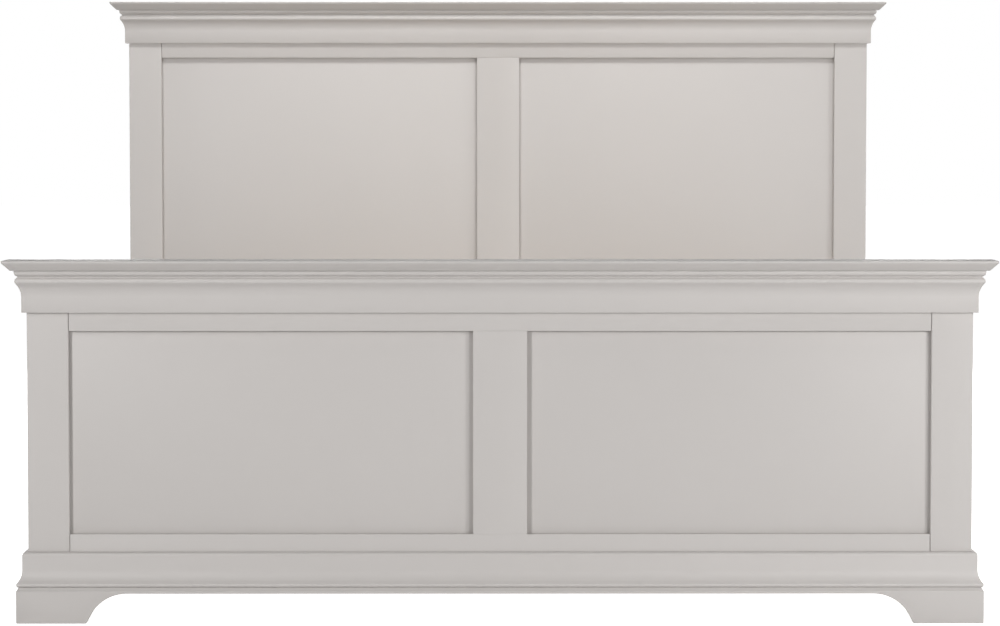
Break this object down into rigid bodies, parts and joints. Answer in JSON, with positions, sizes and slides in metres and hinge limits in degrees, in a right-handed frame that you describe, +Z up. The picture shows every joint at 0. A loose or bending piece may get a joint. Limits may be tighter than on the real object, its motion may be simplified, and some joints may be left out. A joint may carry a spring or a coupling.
{
  "type": "bed frame",
  "caption": "Painted wooden bed frame with panelled headboard and footboard, moulded cornices, bracket feet and a slatted base.",
  "frame": {"origin": "on the floor, under the centre of the overall box", "axes": "+X to the right seen from the footboard, +Y from the footboard to the headboard, +Z up"},
  "size_m": [1.98, 2.163, 1.3],
  "materials": {
    "painted_wood": "satin paint, light warm grey",
    "pine": "planed, unfinished",
    "zinc_steel": "zinc plated",
    "black_plastic": "moulded"
  },
  "bodies": {
    "root": {"foot_post_left": "painted_wood", "foot_post_right": "painted_wood", "foot_top_rail": "painted_wood", "foot_bottom_rail": "painted_wood", "foot_mullion": "painted_wood", "foot_panel_left": "painted_wood", "foot_panel_right": "painted_wood", "foot_cap": "painted_wood", "foot_cornice_front": "painted_wood", "foot_cornice_left": "painted_wood", "foot_cornice_right": "painted_wood", "base_mould_front": "painted_wood", "base_mould_left": "painted_wood", "base_mould_right": "painted_wood", "plinth_front": "painted_wood", "plinth_left": "painted_wood", "plinth_right": "painted_wood", "head_post_left": "painted_wood", "head_post_right": "painted_wood", "head_top_rail": "painted_wood", "head_bottom_rail": "painted_wood", "head_mullion": "painted_wood", "head_panel_left": "painted_wood", "head_panel_right": "painted_wood", "head_cap": "painted_wood", "head_cornice_front": "painted_wood", "head_cornice_left": "painted_wood", "head_cornice_right": "painted_wood", "side_rail_left": "painted_wood", "side_rail_right": "painted_wood", "glue_blocks": "pine", "slat_ledge_left": "pine", "slat_ledge_right": "pine", "slat_01": "pine", "slat_02": "pine", "slat_03": "pine", "slat_04": "pine", "slat_05": "pine", "slat_06": "pine", "slat_07": "pine", "slat_08": "pine", "slat_09": "pine", "slat_10": "pine", "slat_11": "pine", "slat_12": "pine", "centre_rail": "pine", "centre_leg_front": "pine", "centre_leg_back": "pine", "centre_rail_hangers": "zinc_steel", "leg_nuts": "zinc_steel", "corner_brackets": "zinc_steel", "corner_bolts": "zinc_steel", "threaded_inserts": "zinc_steel", "bracket_screws": "zinc_steel", "countersunk_screws": "zinc_steel"},
    "pad_front": {"levelling_pad_front": "black_plastic"},
    "stem_front": {"levelling_stem_front": "zinc_steel"},
    "pad_back": {"levelling_pad_back": "black_plastic"},
    "stem_back": {"levelling_stem_back": "zinc_steel"}
  },
  "joints": [
    {"name": "pad_front_lift", "type": "slide", "parent": "root", "child": "pad_front", "axis": [0, 0, 1], "range_m": [0, 0.0125]},
    {"name": "stem_front_turn", "type": "hinge", "parent": "pad_front", "child": "stem_front", "pos_m": [0, -0.3185, 0.012], "axis": [0, 0, 1], "range_deg": [0, 3600]},
    {"name": "pad_back_lift", "type": "slide", "parent": "root", "child": "pad_back", "axis": [0, 0, 1], "range_m": [0, 0.0125]},
    {"name": "stem_back_turn", "type": "hinge", "parent": "pad_back", "child": "stem_back", "pos_m": [0, 0.3555, 0.012], "axis": [0, 0, 1], "range_deg": [0, 3600]}
  ],
  "couplings": [
    {"joint": "stem_front_turn", "follows": "pad_front_lift", "rad_per_m": 5026.5},
    {"joint": "stem_back_turn", "follows": "pad_back_lift", "rad_per_m": 5026.5}
  ]
}
